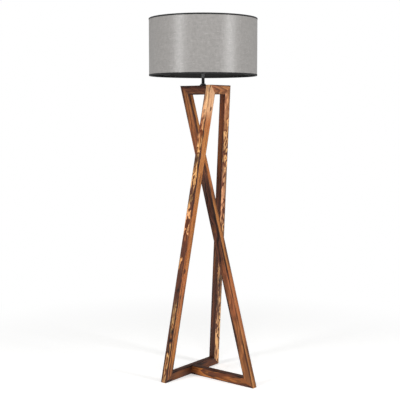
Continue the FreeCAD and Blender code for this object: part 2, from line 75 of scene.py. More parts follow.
def tone(red: int, green: int, blue: int) -> Colour:
    """A display colour as the linear colour that a shader takes.

    Args:
        red, green, blue: the display colour, each from 0 to 255.

    Returns:
        The same colour in linear light.
    """
    def linear(part: int) -> float:
        """One channel of the colour in linear light."""
        share = part / 255
        return share / 12.92 if share <= 0.04045 else ((share + 0.055) / 1.055) ** 2.4
    return linear(red), linear(green), linear(blue)


# ---- node graphs

class Graph:
    """The node graph of a material or a world, built from the texture end towards the shader."""

    def __init__(self, name: str, world: bool = False) -> None:
        """Starts an empty graph.

        Args:
            name: the name of its material or world.
            world: True for a world.
        """
        self.owner = (bpy.data.worlds if world else bpy.data.materials).new(name)
        self.owner.use_nodes = True
        self.tree = self.owner.node_tree
        self.tree.nodes.clear()

    def node(self, kind: str, feeds: dict[Union[int, str], Feed],
             **settings: Setting) -> bpy.types.Node:
        """Adds a node, sets its properties and feeds its sockets.

        Args:
            kind: the node's type without its ShaderNode prefix.
            feeds: a socket or a constant for each input, by name or number.
            settings: values for the node's own properties.

        Returns:
            The new node.
        """
        made = self.tree.nodes.new("ShaderNode" + kind)
        for key, value in settings.items():
            setattr(made, key, value)
        for key, value in feeds.items():
            if isinstance(value, Socket):
                self.tree.links.new(value, made.inputs[key])
            elif made.inputs[key].type == "RGBA" and len(value) == 3:
                made.inputs[key].default_value = (*value, 1.0)
            else:
                made.inputs[key].default_value = value
        return made

    def calc(self, operation: str, *feeds: Feed, clamp: bool = False) -> Socket:
        """A sum, product or other Math node of one to three values."""
        return self.node("Math", dict(enumerate(feeds)), operation=operation,
                         use_clamp=clamp).outputs[0]

    def times(self, first: Feed, second: Feed) -> Socket:
        """The product of two values."""
        return self.calc("MULTIPLY", first, second)

    def less(self, first: Feed, second: Feed) -> Socket:
        """The first value less the second."""
        return self.calc("SUBTRACT", first, second)

    def over(self, first: Feed, second: Feed) -> Socket:
        """The first value divided by the second."""
        return self.calc("DIVIDE", first, second)

    def gain(self, value: Feed, factor: Feed, base: Feed, clamp: bool = False) -> Socket:
        """Base plus factor times value."""
        return self.calc("MULTIPLY_ADD", value, factor, base, clamp=clamp)

    def total(self, base: Feed, *terms: tuple[Feed, float]) -> Socket:
        """A base with some values added, each times a factor.

        Args:
            base: what they are added to.
            terms: each value and its factor.

        Returns:
            The sum.
        """
        for value, factor in terms:
            base = self.gain(value, factor, base)
        return base

    def centred(self, value: Feed, factor: float, base: Feed, clamp: bool = False) -> Socket:
        """Base plus factor times what value has above one half."""
        return self.gain(self.less(value, 0.5), factor, base, clamp)

    def ribs(self, value: Feed) -> Socket:
        """The size of a value's sine, which makes a row of round ribs."""
        return self.calc("ABSOLUTE", self.calc("SINE", value))

    def span(self, first: Feed, second: Feed) -> Socket:
        """The length of two measures at right angles."""
        return self.calc("SQRT", self.calc("ADD", self.times(first, first),
                                           self.times(second, second)))

    def spread(self, value: Feed, low: float, high: float,
               to_low: float = 0.0, to_high: float = 1.0) -> Socket:
        """A smooth step of value from low to high, mapped to to_low and to_high."""
        return self.node("MapRange", dict(enumerate((value, low, high, to_low, to_high))),
                         interpolation_type="SMOOTHSTEP").outputs[0]

    def object_point(self) -> Socket:
        """Object coordinates, which are the frame's own."""
        return self.node("TexCoord", {}).outputs["Object"]

    def sheet_point(self) -> Socket:
        """The piece's own UV map, in metres along and across the cloth."""
        return self.node("TexCoord", {}).outputs["UV"]

    def moved(self, vector: Feed, place: Sequence[float] = (0, 0, 0),
              turn: Sequence[float] = (0, 0, 0), stretch: Sequence[float] = (1, 1, 1)) -> Socket:
        """A vector stretched, then turned, then moved by a Mapping node."""
        return self.node("Mapping", {"Vector": vector, "Location": place, "Rotation": turn,
                                     "Scale": stretch}).outputs[0]

    def split(self, vector: Feed) -> tuple[Socket, ...]:
        """The three parts of a vector."""
        return tuple(self.node("SeparateXYZ", {0: vector}).outputs[:3])

    def join(self, *parts: Feed) -> Socket:
        """A vector of two or three parts."""
        return self.node("CombineXYZ", dict(enumerate(parts))).outputs[0]

    def noise(self, vector: Feed, scale: float, detail: float = 2.0,
              roughness: float = 0.5, distortion: float = 0.0) -> Socket:
        """Soft noise from 0 to 1, centred on one half."""
        return self.node("TexNoise", {"Vector": vector, "Scale": scale, "Detail": detail,
                                      "Roughness": roughness, "Distortion": distortion}).outputs[0]

    def grain(self, point: Feed, place: Sequence[float], along: float, across: float,
              detail: float, roughness: float = 0.5) -> Socket:
        """Noise drawn out along x, with its grains per metre along and across."""
        drawn = self.moved(point, place, stretch=(along, across, across))
        return self.noise(drawn, 1.0, detail, roughness)

    def speckle(self, u: Feed, v: Feed, along: float, across: float, scale: float = 1.0,
                detail: float = 2.0, roughness: float = 0.5) -> Socket:
        """Noise on a cloth, with its grains per metre along and across."""
        point = self.join(self.times(u, along), self.times(v, across))
        return self.noise(point, scale, detail, roughness)

    def dice(self, value: Feed) -> Socket:
        """A fixed random number from 0 to 1 for each whole number."""
        return self.node("TexWhiteNoise", {"W": value}, noise_dimensions="1D").outputs[0]

    def ramp(self, value: Feed, stops: Stops, ease: bool = False) -> Socket:
        """A colour ramp.

        Args:
            value: the position on the ramp, from 0 to 1.
            stops: a position and a grey value or colour for each stop, in rising order.
            ease: True for a rounded change between stops.

        Returns:
            The colour.
        """
        made = self.node("ValToRGB", {0: value})
        bar = made.color_ramp
        bar.interpolation = "EASE" if ease else "LINEAR"
        while len(bar.elements) < len(stops):
            bar.elements.new(1.0)
        for element, (position, _) in zip(bar.elements, stops):
            element.position = position
        for element, (_, shade) in zip(bar.elements, stops):
            colour = (shade,) * 3 if isinstance(shade, (int, float)) else shade
            element.color = (*colour, 1.0)
        return made.outputs[0]

    def mix(self, share: Feed, first: Feed, second: Feed, how: str = "MIX") -> Socket:
        """Two colours mixed by how much of the second shows, in a blend type."""
        return self.node("Mix", {0: share, 6: first, 7: second}, data_type="RGBA",
                         blend_type=how).outputs[2]

    def tint(self, share: Feed, colour: Feed, glaze: Feed) -> Socket:
        """A colour mixed by share with itself under a glaze that it is multiplied by."""
        return self.mix(share, colour, self.mix(1.0, colour, glaze, "MULTIPLY"))

    def bump(self, height: Feed, depth: float) -> Socket:
        """A normal tilted by a height from 0 to 1 that stands depth metres tall."""
        return self.node("Bump", {"Height": height, "Distance": depth}).outputs[0]

    def finish(self, **feeds: Feed) -> Material:
        """Ends the graph in a Principled shader.

        Args:
            feeds: the shader's inputs, with underscores for spaces.

        Returns:
            The finished material.
        """
        shader = self.node("BsdfPrincipled", {k.replace("_", " "): v for k, v in feeds.items()})
        self.node("OutputMaterial", {"Surface": shader.outputs[0]})
        return self.owner


# ---- finishes

@dataclass(frozen=True)
class Knot:
    """A knot in a timber: its place along it, off its centre line, and its radius."""

    along: float
    off: float
    radius: float


@dataclass(frozen=True)
class Scorch:
    """One pair of a timber's faces: its two wood tones and how black the torch left it.

    char gives the blackness at places from 0, the timber's start, to 1, its end.
    """

    early: Colour
    late: Colour
    char: tuple[tuple[float, float], ...]


@dataclass(frozen=True)
class TorchedPine:
    """Pine scorched with a torch, brushed along the grain and varnished, one per timber.

    heart is how far the tree's middle lies off the timber's centre line, through its thickness
    and across its width, and stray is how far that changes by the timber's other end. Each
    grain gives the noise's scale along the timber and across it. sway and figure bend the
    rings, early_share is the part of a ring that is early wood, and pale_end is the share of
    the timber that the torch left pale at its far end.
    """

    flat: Scorch
    edge: Scorch
    heart: tuple[float, float] = (-0.052, 0.006)
    stray: tuple[float, float] = (0.014, 0.010)
    ring: float = 0.0036
    sway: float = 0.0060
    figure: float = 0.0026
    curl: float = 15.0
    early_share: float = 1.0
    pale_end: float = 0.0
    seed: float = 1.0
    knots: tuple[Knot, ...] = ()
    corner_burn: float = 0.45
    corner_band: tuple[float, float] = (0.0065, 0.001)
    flecks: float = 0.75
    brushed: float = 0.00022
    swing_grain: tuple[float, float] = (4.6, 30.0)
    curl_across: float = 62.0
    fibre_grain: tuple[float, float] = (20.0, 1300.0)
    streak_grain: tuple[float, float] = (3.5, 150.0)
    blotch_grain: tuple[float, float] = (9.0, 34.0)
    sap_grain: tuple[float, float] = (3.4, 16.0)
    black: Colour = tone(24, 12, 8)
    glow: Colour = tone(92, 56, 42)
    line_glaze: Colour = tone(148, 112, 92)
    fleck_glaze: Colour = tone(150, 112, 92)
    streak_glaze: Colour = tone(236, 196, 164)
    sap_glazes: tuple[Colour, Colour] = (tone(250, 224, 212), tone(255, 246, 214))
    fresh: Colour = tone(236, 196, 154)
    knot_heart: Colour = tone(96, 52, 30)
    knot_rim: Colour = tone(30, 17, 12)

    def material(self, name: str, axes: "Axes") -> Material:
        """Builds the material in the timber's own directions.

        Args:
            name: the material's name.
            axes: where the timber lies and how large its section is.

        Returns:
            The material.
        """
        g = Graph(name)
        own = g.moved(g.object_point(), axes.offset, axes.turn)
        x, y, z = g.split(own)
        share = g.over(x, axes.length)

        swing = g.less(g.grain(own, (self.seed, 0, 0), *self.swing_grain, 1.5, 0.45), 0.5)
        curl = g.less(g.grain(own, (0, self.seed, 0), self.curl, self.curl_across, 1.0), 0.5)
        pull = self.knot_field(g, x, z, radius_share=3.2)
        across = g.total(g.less(y, self.heart[0]), (swing, 2 * self.sway), (curl, 2 * self.figure),
                         (share, self.stray[0]), (pull, self.ring * 1.1))
        aside = g.total(g.less(z, self.heart[1]), (swing, -self.sway), (curl, 2 * self.figure),
                        (share, self.stray[1]))
        radius = g.span(across, aside)
        season = g.noise(g.join(g.times(radius, 0.42 / self.ring), self.seed), 1.0, 2.0)
        rings = g.centred(season, 3.0, g.over(radius, self.ring))
        phase = g.calc("FRACT", rings)
        year = g.dice(g.calc("ADD", g.calc("FLOOR", rings), self.seed * 7.0))
        late = g.ramp(phase, ((0.0, 0.5), (0.06, 0.0), (0.30, 0.04), (0.56, 0.50),
                              (0.78, 1.0), (0.97, 1.0), (1.0, 0.5)))
        late = g.times(late, g.gain(year, 0.4, 0.6))
        line = g.spread(late, 0.50, 0.90, 0.0, 1.8 * (1 - self.early_share))
        late = g.calc("DIVIDE", late, self.early_share, clamp=True)

        fibre = g.grain(own, (0, 0, 0), *self.fibre_grain, 3.0, 0.65)
        streak = g.grain(own, (self.seed, 3, 5), *self.streak_grain, 2.0, 0.55)
        blotch = g.grain(own, (5, self.seed, 2), *self.blotch_grain, 3.0, 0.55)
        sap = g.grain(own, (self.seed, 1, 9), *self.sap_grain, 2.0)

        off_z, off_y = g.calc("ABSOLUTE", z), g.calc("ABSOLUTE", y)
        half_z, half_y = axes.width / 2, axes.thickness / 2
        side = g.less(g.over(off_z, half_z), g.over(off_y, half_y))
        on_edge = g.spread(side, -0.06, 0.06)
        start, full = self.corner_band
        corner = g.times(g.spread(off_z, half_z - start, half_z - full),
                         g.spread(off_y, half_y - start, half_y - full))

        burnt = g.mix(on_edge, g.ramp(share, self.flat.char, True), g.ramp(share, self.edge.char, True))
        for patches, strength in ((year, 0.55), (blotch, 1.5), (streak, 0.7)):
            burnt = g.centred(patches, strength, burnt)
        burnt = g.gain(corner, self.corner_burn, burnt)
        burnt = g.spread(burnt, 0.20, 0.80)

        wood = g.mix(late, g.mix(on_edge, self.flat.early, self.edge.early),
                     g.mix(on_edge, self.flat.late, self.edge.late))
        wood = g.tint(line, wood, self.line_glaze)
        wood = g.mix(1.0, wood, g.mix(g.spread(sap, 0.36, 0.62), *self.sap_glazes), "MULTIPLY")
        if self.pale_end:
            fresh = g.spread(share, 1 - self.pale_end, 1 - self.pale_end * 0.5, 0.0, 0.55)
            wood = g.mix(fresh, wood, self.fresh)
        colour = g.mix(burnt, wood, g.mix(late, self.black, self.glow))
        colour = g.tint(g.spread(fibre, 0.44, 0.70, 0.0, self.flecks), colour, self.fleck_glaze)
        colour = g.tint(g.spread(streak, 0.35, 0.75, 0.0, 0.55), colour, self.streak_glaze)
        if self.knots:
            heart = self.knot_field(g, x, z, radius_share=1.0)
            rim = g.ramp(heart, ((0.0, 0.0), (0.26, 0.0), (0.36, 1.0), (0.46, 0.25), (1.0, 0.55)))
            colour = g.mix(g.spread(heart, 0.2, 0.42, 0.0, 0.9), colour, self.knot_heart)
            colour = g.mix(rim, colour, self.knot_rim)

        relief = g.gain(late, 0.55, g.times(fibre, 0.45))
        rough = g.gain(fibre, 0.16, g.gain(burnt, 0.10, 0.34))
        return g.finish(Base_Color=colour, Roughness=rough, Normal=g.bump(relief, self.brushed),
                        Specular_IOR_Level=0.16, Coat_Weight=0.03, Coat_Roughness=0.20)

    def knot_field(self, g: Graph, x: Feed, z: Feed, radius_share: float) -> Feed:
        """How near a point is to a knot, from 0 far away to 1 at a knot's centre.

        Args:
            g: the graph.
            x, z: the place along the timber and across its width.
            radius_share: how many knot radii the field reaches.

        Returns:
            The field, or 0 where the timber has no knot.
        """
        field_sum: Feed = 0.0
        for knot in self.knots:
            reach = knot.radius * radius_share
            run = g.over(g.less(x, knot.along), reach * 1.9)
            off = g.over(g.less(z, knot.off), reach)
            square = g.calc("ADD", g.times(run, run), g.times(off, off))
            near = g.calc("EXPONENT", g.times(square, -1.0))
            field_sum = g.calc("ADD", near, field_sum)
        return field_sum


@dataclass(frozen=True)
class Linen:
    """Grey melange linen laminated on a stiff backing; UV in metres round and up the drum."""

    name: str = "grey_linen"
    light: Colour = tone(155, 152, 149)
    dark: Colour = tone(99, 97, 95)
    # painted shade in the dips between the threads
    gap_shade: Colour = tone(92, 88, 84)
    pitch: float = 0.00075
    relief: float = 0.00002

    def material(self) -> Material:
        """Builds the plain weave with its slubs, thread tones and painted shade between the threads.

        Returns:
            The material.
        """
        g = Graph(self.name)
        u, v, _ = g.split(g.sheet_point())
        warp = g.over(u, self.pitch)
        weft = g.over(v, self.pitch)
        waves = [g.calc("SINE", g.times(way, math.pi)) for way in (warp, weft)]
        up = g.spread(g.times(*waves), -0.25, 0.25)
        warp_body, weft_body = (g.calc("ABSOLUTE", wave) for wave in waves)
        weave = g.mix(up, weft_body, warp_body)

        warp_tone = g.noise(g.join(g.calc("FLOOR", warp), g.times(v, 14.0)), 1.7, 2.0)
        weft_tone = g.noise(g.join(g.times(u, 14.0), g.calc("FLOOR", weft)), 1.7, 2.0)
        thread = g.mix(up, weft_tone, warp_tone)
        slub = g.speckle(u, v, 42.0, 300.0, roughness=0.55)
        fleck = g.speckle(u, v, 300.0, 60.0, roughness=0.55)
        cloud = g.speckle(u, v, 120.0, 110.0, 0.6, 4.0, 0.75)

        share = g.centred(thread, 0.9, 0.5)
        share = g.gain(g.spread(slub, 0.58, 0.78), 0.42, share)
        share = g.gain(g.spread(fleck, 0.60, 0.80), -0.30, share)
        share = g.centred(cloud, 0.75, share, clamp=True)
        colour = g.mix(share, self.dark, self.light)
        # painted shade: darker where the weave dips between the threads
        colour = g.mix(g.spread(weave, 0.05, 0.65, 0.22, 0.0), colour, self.gap_shade)
        relief = g.gain(g.spread(slub, 0.55, 0.8), 0.5, weave)
        return g.finish(Base_Color=colour, Roughness=0.36, Normal=g.bump(relief, self.relief),
                        Sheen_Weight=0.05, Sheen_Roughness=0.45, Specular_IOR_Level=0.60)


@dataclass(frozen=True)
class Tape:
    """Ribbed cotton tape; UV in metres round the drum and across the tape."""

    name: str = "black_tape_weave"
    base: Colour = tone(16, 16, 17)
    lift: Colour = tone(36, 36, 37)
    rib: float = 0.0009
    relief: float = 0.00015

    def material(self) -> Material:
        """Builds the ribs, the cross threads and their slight wear.

        Returns:
            The material.
        """
        g = Graph(self.name)
        u, v, _ = g.split(g.sheet_point())
        rib = g.ribs(g.times(u, math.pi / self.rib))
        cross = g.ribs(g.times(v, 2 * math.pi / self.rib))
        lint = g.speckle(u, v, 160.0, 700.0, detail=3.0)
        height = g.gain(cross, 0.35, rib)
        share = g.gain(lint, 0.6, g.times(height, 0.3), clamp=True)
        return g.finish(Base_Color=g.mix(share, self.base, self.lift), Roughness=0.78,
                        Normal=g.bump(height, self.relief), Specular_IOR_Level=0.18,
                        Sheen_Weight=0.04, Sheen_Roughness=0.5)


@dataclass(frozen=True)
class Coat:
    """A hard finish, such as paint, plating, plastic or glaze, with fine grain and handling marks."""

    name: str
    base: Colour
    worn: Colour
    metallic: float = 0.0
    roughness: float = 0.4
    rough_range: float = 0.12
    grain: float = 900.0
    stretch: Point = (1.0, 1.0, 1.0)
    wear: float = 0.35
    relief: float = 0.00004
    clear: float = 0.0
    glow: float = 0.0
    gloss: float = 0.4

    def material(self) -> Material:
        """Builds the finish from a fine grain and a slow patchiness.

        Returns:
            The material.
        """
        g = Graph(self.name)
        own = g.moved(g.object_point(), stretch=self.stretch)
        grain = g.noise(own, self.grain, 3.0, 0.6)
        patch = g.noise(own, self.grain / 14, 3.0, 0.55, 0.4)
        share = g.times(g.spread(patch, 0.42, 0.72), self.wear)
        share = g.gain(g.spread(grain, 0.62, 0.8), self.wear * 0.6, share, clamp=True)
        rough = g.centred(patch, self.rough_range * 2,
                          g.gain(grain, self.rough_range / 2, self.roughness))
        return g.finish(Base_Color=g.mix(share, self.base, self.worn), Metallic=self.metallic,
                        Roughness=rough, Normal=g.bump(grain, self.relief),
                        Specular_IOR_Level=self.gloss, Coat_Weight=self.clear, Coat_Roughness=0.15,
                        Subsurface_Weight=self.glow, Subsurface_Radius=(0.004, 0.004, 0.004))


class Finish(Enum):
    """The hard finishes of the fittings."""

    SATIN_BLACK = Coat("satin_black_enamel", tone(22, 22, 24), tone(46, 46, 50), 0.0, 0.34, 0.10,
                       700.0, wear=0.45, relief=0.00005, clear=0.3)
    ZINC = Coat("zinc_plating", tone(172, 176, 180), tone(140, 142, 138), 1.0, 0.32, 0.12,
                600.0, (1, 1, 4), 0.5)
    FRAME_PAINT = Coat("black_baked_paint", tone(30, 30, 31), tone(48, 48, 49), 0.0, 0.42,
                       0.08, 500.0, wear=0.3, relief=0.00008, gloss=0.25)
    HOLDER = Coat("black_moulded_plastic", tone(30, 30, 32), tone(52, 52, 54), 0.0, 0.42, 0.08,
                  1400.0, wear=0.3, relief=0.00003)
    CERAMIC = Coat("glazed_ceramic", tone(226, 223, 214), tone(204, 198, 184), 0.0, 0.16, 0.05,
                   380.0, wear=0.3, relief=0.00001, clear=0.5)
    BRASS = Coat("contact_brass_finish", tone(198, 160, 88), tone(150, 112, 60), 1.0, 0.28, 0.10,
                 600.0, (1, 1, 5), 0.4)
    NICKEL = Coat("bulb_cap_nickel", tone(186, 184, 178), tone(150, 146, 138), 1.0, 0.22, 0.10,
                  700.0, (1, 1, 5), 0.35)
    BLACK_GLASS = Coat("black_vitrite", tone(16, 15, 18), tone(34, 32, 36), 0.0, 0.12, 0.05,
                       500.0, wear=0.3, relief=0.00001, clear=0.4)
    BULB_SHELL = Coat("bulb_body_plastic", tone(236, 235, 231), tone(222, 220, 213), 0.0, 0.38,
                      0.06, 1200.0, wear=0.3, relief=0.00002)
    OPAL = Coat("opal_globe", tone(244, 243, 238), tone(236, 233, 225), 0.0, 0.26, 0.05,
                300.0, wear=0.25, relief=0.00001, clear=0.25, glow=0.35)
    BOARD = Coat("lamp_board_enamel", tone(230, 232, 230), tone(200, 204, 200), 0.0, 0.45, 0.06,
                 900.0, wear=0.3)
    LINER = Coat("shade_backing", tone(44, 44, 43), tone(34, 34, 33), 0.0, 0.60, 0.08,
                 800.0, (1, 1, 0.4), 0.35, relief=0.00002, gloss=0.15)
    DOWEL = Coat("beech_dowel", tone(206, 172, 126), tone(176, 138, 94), 0.0, 0.6, 0.1,
                 500.0, (6, 6, 0.5), 0.5, relief=0.00006)


# ---- modelling

def deselect() -> None:
    """Leaves nothing selected."""
    bpy.ops.object.select_all(action="DESELECT")


def edit() -> None:
    """Goes into edit mode on the active object."""
    bpy.ops.object.mode_set(mode="EDIT")


def leave() -> None:
    """Goes back to object mode."""
    bpy.ops.object.mode_set(mode="OBJECT")


def tidy(obj: Piece, smooth_angle: float = 35.0) -> Piece:
    """Merges doubles, points the faces outwards, smooths, and puts the origin at (0, 0, 0).

    Args:
        obj: the piece, which is the active object, in object mode.
        smooth_angle: the angle in degrees above which an edge stays sharp.

    Returns:
        The same piece.
    """
    edit()
    bpy.ops.mesh.select_all(action="SELECT")
    bpy.ops.mesh.remove_doubles(threshold=1e-6)
    bpy.ops.mesh.normals_make_consistent(inside=False)
    leave()
    bpy.ops.object.shade_smooth_by_angle(angle=math.radians(smooth_angle))
    bpy.ops.object.transform_apply(location=True, rotation=True, scale=True)
    return obj


def turned(name: str, profile: Outline, segments: int = 96,
           smooth_angle: float = 35.0) -> Piece:
    """A piece turned round the lamp's axis, drawn up ring by ring from its first point.

    Args:
        name: the piece's name.
        profile: radius and height of each ring; the last meets the first, or both are poles.
        segments: how many sides each ring has.
        smooth_angle: the angle in degrees above which an edge stays sharp.

    Returns:
        The piece.
    """
    deselect()
    near = 1e-5
    radius, height = profile[0]
    radius = max(radius, near)
    bpy.ops.mesh.primitive_circle_add(vertices=segments, radius=radius, fill_type="NOTHING",
                                      calc_uvs=False, location=(0, 0, height))
    obj = bpy.context.object
    obj.name = obj.data.name = name
    edit()
    for next_radius, next_height in profile[1:]:
        next_radius = max(next_radius, near)
        grow = next_radius / radius
        bpy.ops.mesh.extrude_region_move(
            TRANSFORM_OT_translate={"value": (0, 0, next_height - height)})
        bpy.ops.transform.resize(value=(grow, grow, 1), center_override=(0, 0, next_height))
        radius, height = next_radius, next_height
    bpy.ops.mesh.select_all(action="SELECT")
    bpy.ops.mesh.remove_doubles(threshold=near * 1.2)
    leave()
    return tidy(obj, smooth_angle)


def raise_faces(obj: Piece, chosen: Callable[[Vector], bool], rise: float,
                taper: float = 1.0) -> None:
    """Extrudes some faces along their normals, each set of neighbours together.

    Args:
        obj: the piece, which is the active object.
        chosen: says of a face's centre whether it is raised.
        rise: the distance outwards, or inwards if negative.
        taper: how much the raised faces shrink.
    """
    edit()
    bpy.ops.mesh.select_all(action="DESELECT")
    bpy.ops.mesh.select_mode(type="FACE")
    leave()
    for face in obj.data.polygons:
        face.select = chosen(face.center)
    edit()
    bpy.ops.mesh.extrude_region_shrink_fatten(TRANSFORM_OT_shrink_fatten={"value": rise})
    if taper != 1.0:
        bpy.ops.transform.resize(value=(taper, taper, taper))
    bpy.ops.mesh.select_mode(type="VERT")
    leave()


def sector(place: Vector, count: int) -> int:
    """Which of count equal sectors round the lamp's axis a place lies in."""
    return int(math.floor((math.atan2(place.y, place.x) % TURN) / TURN * count + 1e-6)) % count


def unroll(obj: Piece, radius: float, across: Callable[[Vector], float]) -> None:
    """Gives a turned piece a UV map in metres, round its axis and across its surface.

    Args:
        obj: the piece.
        radius: the radius at which the map is true to size.
        across: the map's second measure for a vertex.
    """
    mesh = obj.data
    layer = mesh.uv_layers.new(name="cloth")
    for face in mesh.polygons:
        middle = math.atan2(face.center.y, face.center.x)
        for corner in face.loop_indices:
            co = mesh.vertices[mesh.loops[corner].vertex_index].co
            angle = math.atan2(co.y, co.x)
            angle += TURN * round((middle - angle) / TURN)
            layer.data[corner].uv = (angle * radius, across(co))


def dress(obj: Piece, material: Material) -> None:
    """Puts one material on a whole piece."""
    obj.data.materials.clear()
    obj.data.materials.append(material)


def rounded(radius: float, height: float, turn_from: float, turn_to: float,
            bend: float, steps: int = 4) -> Outline:
    """Points of a profile's rounded corner.

    Args:
        radius, height: the centre of the corner's arc.
        turn_from, turn_to: the arc's first and last direction in degrees, 0 outwards, 90 up.
        bend: the arc's radius.
        steps: how many straight runs make the arc.

    Returns:
        The points, ends included.
    """
    points = []
    for step in range(steps + 1):
        angle = math.radians(turn_from + (turn_to - turn_from) * step / steps)
        points.append((radius + bend * math.cos(angle), height + bend * math.sin(angle)))
    return points


def bevel(radius: float, height: float, bend: float, steps: int, side: int = 1) -> Outline:
    """Points of a profile's rounded outside corner: its upper one, or for side -1 its lower one."""
    return rounded(radius - bend, height - side * bend, min(side * 90, 0), max(side * 90, 0),
                   bend, steps)


def column(radius: float, low: float, high: float, steps: int) -> Outline:
    """Points of a profile's straight wall from low to high, in equal steps."""
    return [(radius, low + (high - low) * step / steps) for step in range(steps + 1)]


def stand_in(piece: Piece, node: str, body: str, material: Material) -> None:
    """Puts a new piece on its body in place of a CAD node.

    Args:
        piece: the new piece.
        node: the CAD node that it stands for.
        body: the moving body that it rides on.
        material: its look.
    """
    dress(piece, material)
    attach(piece, body)
    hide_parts(node)


# ---- sub-assemblies

@dataclass(frozen=True)
class Axes:
    """A timber's own directions: x along it, y through its thickness, z across its width."""

    offset: Point
    turn: Point
    length: float
    thickness: float
    width: float

    @staticmethod
    def of(node: Piece, facing: Vector) -> "Axes":
        """Measures a timber from its flat faces.

        Args:
            node: the timber.
            facing: a direction that the front of the timber's flat side looks towards.

        Returns:
            Its axes; y looks towards facing, and x points up, or to +X or +Y on a level timber.
        """
        faces = sorted(node.data.polygons, key=lambda face: -face.area)
        first = faces[0].normal.normalized()
        second = next(face.normal.normalized() for face in faces
                      if abs(face.normal.normalized().dot(first)) < 0.3)
        second = (second - first * second.dot(first)).normalized()

        def reach(way: Vector) -> tuple[float, float]:
            """The timber's lowest and highest place in one direction."""
            along = [vertex.co.dot(way) for vertex in node.data.vertices]
            return min(along), max(along)

        spans = {0: reach(first), 1: reach(second)}
        thin = 0 if spans[0][1] - spans[0][0] < spans[1][1] - spans[1][0] else 1
        y_way, y_span = (first, spans[0]) if thin == 0 else (second, spans[1])
        z_way = second if thin == 0 else first
        if y_way.dot(facing) < 0:
            y_way, y_span = -y_way, (-y_span[1], -y_span[0])
        x_way = y_way.cross(z_way).normalized()
        if x_way.dot(Vector((0.2, 0.5, 1.0))) < 0:
            x_way = -x_way
        z_way = x_way.cross(y_way)
        x_span, z_span = reach(x_way), reach(z_way)
        origin = x_way * x_span[0] + y_way * (sum(y_span) / 2) + z_way * (sum(z_span) / 2)
        turn = Matrix((x_way, y_way, z_way))
        return Axes(tuple(-(turn @ origin)), tuple(turn.to_euler("XYZ")), x_span[1] - x_span[0],
                    y_span[1] - y_span[0], z_span[1] - z_span[0])


